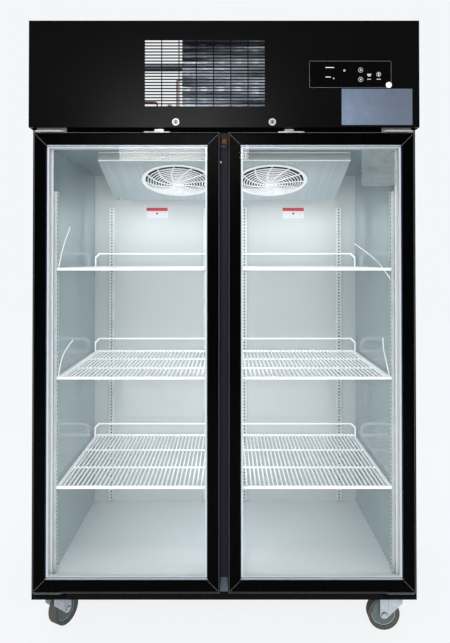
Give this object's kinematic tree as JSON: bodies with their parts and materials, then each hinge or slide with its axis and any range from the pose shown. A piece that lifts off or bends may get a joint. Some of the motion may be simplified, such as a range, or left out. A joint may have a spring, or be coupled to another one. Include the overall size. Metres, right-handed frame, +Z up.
{
  "type": "upright display refrigerator",
  "caption": "Upright display refrigerator with hinged glass doors, wire shelves, a top cooling unit behind a louvred header, and swivel castors.",
  "frame": {"origin": "on the floor below the middle of the whole object", "axes": "+Z up, -Y towards the user in front of the doors, +X to the right as the user sees it"},
  "size_m": [1.2, 0.7, 1.914],
  "materials": {
    "black_panel": "satin",
    "black_frame": "satin",
    "panel_gloss": "gloss",
    "galvanised_sheet": "satin",
    "interior_sheet": "satin",
    "white_plastic": "satin",
    "white_coating": "satin",
    "zinc_plate": "satin",
    "chrome_plate": "polished",
    "clear_glass": "gloss",
    "spacer_bar": "satin",
    "gasket_rubber": "matte",
    "foam": "matte",
    "fin_metal": "satin",
    "copper_pipe": "satin",
    "black_plastic": "matte",
    "compressor_paint": "satin",
    "lamp_cover": "satin",
    "wheel_rubber": "matte"
  },
  "bodies": {
    "cabinet": {"left_side_panel": "black_panel", "right_side_panel": "black_panel", "back_panel": "galvanised_sheet", "base_tray": "galvanised_sheet", "base_rail": "black_panel", "top_deck": "black_panel", "insulation": "foam", "breaker_strip": "white_plastic", "liner_sides": "interior_sheet", "liner_back": "interior_sheet", "liner_floor_and_ceiling": "interior_sheet", "mullion": "black_frame", "mullion_lamp": "lamp_cover", "shelf_pilasters": "zinc_plate", "shelf_clips": "zinc_plate", "evaporator_cover": "interior_sheet", "evaporator_coil": "fin_metal", "fan_motors": "black_plastic", "fan_guards": "white_plastic", "header_panel": "black_panel", "control_panel": "panel_gloss", "lock_barrels": "chrome_plate", "hinge_brackets": "zinc_plate", "unit_base": "galvanised_sheet", "condenser": "fin_metal", "condenser_shroud": "black_panel", "compressor": "compressor_paint", "refrigerant_pipes": "copper_pipe", "top_brace": "black_panel", "cord_gland": "black_plastic", "castor_plates": "zinc_plate"},
    "condenser_fan": {"condenser_fan": "black_plastic"},
    "left_door": {"left_door_frame": "black_frame", "left_door_glass": "clear_glass", "left_door_spacer": "spacer_bar", "left_door_gasket": "gasket_rubber", "left_lock_strike": "zinc_plate"},
    "left_lock": {"left_lock": "chrome_plate"},
    "left_evaporator_fan": {"left_evaporator_fan": "black_plastic"},
    "left_lower_shelf": {"left_lower_shelf": "white_coating"},
    "left_middle_shelf": {"left_middle_shelf": "white_coating"},
    "left_upper_shelf": {"left_upper_shelf": "white_coating"},
    "right_door": {"right_door_frame": "black_frame", "right_door_glass": "clear_glass", "right_door_spacer": "spacer_bar", "right_door_gasket": "gasket_rubber", "right_lock_strike": "zinc_plate"},
    "right_lock": {"right_lock": "chrome_plate"},
    "right_evaporator_fan": {"right_evaporator_fan": "black_plastic"},
    "right_lower_shelf": {"right_lower_shelf": "white_coating"},
    "right_middle_shelf": {"right_middle_shelf": "white_coating"},
    "right_upper_shelf": {"right_upper_shelf": "white_coating"},
    "front_left_fork": {"front_left_fork": "zinc_plate"},
    "front_left_wheel": {"front_left_wheel": "wheel_rubber"},
    "front_right_fork": {"front_right_fork": "zinc_plate"},
    "front_right_wheel": {"front_right_wheel": "wheel_rubber"},
    "rear_left_fork": {"rear_left_fork": "zinc_plate"},
    "rear_left_wheel": {"rear_left_wheel": "wheel_rubber"},
    "rear_right_fork": {"rear_right_fork": "zinc_plate"},
    "rear_right_wheel": {"rear_right_wheel": "wheel_rubber"}
  },
  "joints": [
    {"name": "left_door_hinge", "type": "hinge", "parent": "cabinet", "child": "left_door", "pos_m": [-0.574, -0.327, 0.8665], "axis": [0, 0, -1], "range_deg": [0, 105]},
    {"name": "left_lock_turn", "type": "hinge", "parent": "cabinet", "child": "left_lock", "pos_m": [-0.148, -0.339, 1.601], "axis": [0, -1, 0], "range_deg": [0, 90]},
    {"name": "left_evaporator_fan_spin", "type": "hinge", "parent": "cabinet", "child": "left_evaporator_fan", "pos_m": [-0.161, -0.1082, 1.46791], "axis": [0, 0.3001, 0.9539], "continuous": true},
    {"name": "left_lower_shelf_lift", "type": "slide", "parent": "cabinet", "child": "left_lower_shelf", "axis": [0, 0, 1], "range_m": [0, 0.06]},
    {"name": "left_middle_shelf_lift", "type": "slide", "parent": "cabinet", "child": "left_middle_shelf", "axis": [0, 0, 1], "range_m": [0, 0.06]},
    {"name": "left_upper_shelf_lift", "type": "slide", "parent": "cabinet", "child": "left_upper_shelf", "axis": [0, 0, 1], "range_m": [0, 0.06]},
    {"name": "right_door_hinge", "type": "hinge", "parent": "cabinet", "child": "right_door", "pos_m": [0.574, -0.327, 0.8665], "axis": [0, 0, 1], "range_deg": [0, 105]},
    {"name": "right_lock_turn", "type": "hinge", "parent": "cabinet", "child": "right_lock", "pos_m": [0.148, -0.339, 1.601], "axis": [0, 1, 0], "range_deg": [0, 90]},
    {"name": "right_evaporator_fan_spin", "type": "hinge", "parent": "cabinet", "child": "right_evaporator_fan", "pos_m": [0.161, -0.1082, 1.46791], "axis": [0, 0.3001, 0.9539], "continuous": true},
    {"name": "right_lower_shelf_lift", "type": "slide", "parent": "cabinet", "child": "right_lower_shelf", "axis": [0, 0, 1], "range_m": [0, 0.06]},
    {"name": "right_middle_shelf_lift", "type": "slide", "parent": "cabinet", "child": "right_middle_shelf", "axis": [0, 0, 1], "range_m": [0, 0.06]},
    {"name": "right_upper_shelf_lift", "type": "slide", "parent": "cabinet", "child": "right_upper_shelf", "axis": [0, 0, 1], "range_m": [0, 0.06]},
    {"name": "condenser_fan_spin", "type": "hinge", "parent": "cabinet", "child": "condenser_fan", "pos_m": [0.042, -0.199, 1.733], "axis": [0, 1, 0], "continuous": true},
    {"name": "front_left_swivel", "type": "hinge", "parent": "cabinet", "child": "front_left_fork", "pos_m": [-0.537, -0.243, 0.114], "axis": [0, 0, 1], "continuous": true},
    {"name": "front_left_roll", "type": "hinge", "parent": "front_left_fork", "child": "front_left_wheel", "pos_m": [-0.523, -0.21875, 0.05], "axis": [-0.866, 0.5, 0], "continuous": true},
    {"name": "front_right_swivel", "type": "hinge", "parent": "cabinet", "child": "front_right_fork", "pos_m": [0.537, -0.243, 0.114], "axis": [0, 0, 1], "continuous": true},
    {"name": "front_right_roll", "type": "hinge", "parent": "front_right_fork", "child": "front_right_wheel", "pos_m": [0.509, -0.243, 0.05], "axis": [0, -1, 0], "continuous": true},
    {"name": "rear_left_swivel", "type": "hinge", "parent": "cabinet", "child": "rear_left_fork", "pos_m": [-0.537, 0.28, 0.114], "axis": [0, 0, 1], "continuous": true},
    {"name": "rear_left_roll", "type": "hinge", "parent": "rear_left_fork", "child": "rear_left_wheel", "pos_m": [-0.51069, 0.27042, 0.05], "axis": [0.342, 0.9397, 0], "continuous": true},
    {"name": "rear_right_swivel", "type": "hinge", "parent": "cabinet", "child": "rear_right_fork", "pos_m": [0.537, 0.28, 0.114], "axis": [0, 0, 1], "continuous": true},
    {"name": "rear_right_roll", "type": "hinge", "parent": "rear_right_fork", "child": "rear_right_wheel", "pos_m": [0.54186, 0.25243, 0.05], "axis": [0.9848, 0.1736, 0], "continuous": true}
  ]
}
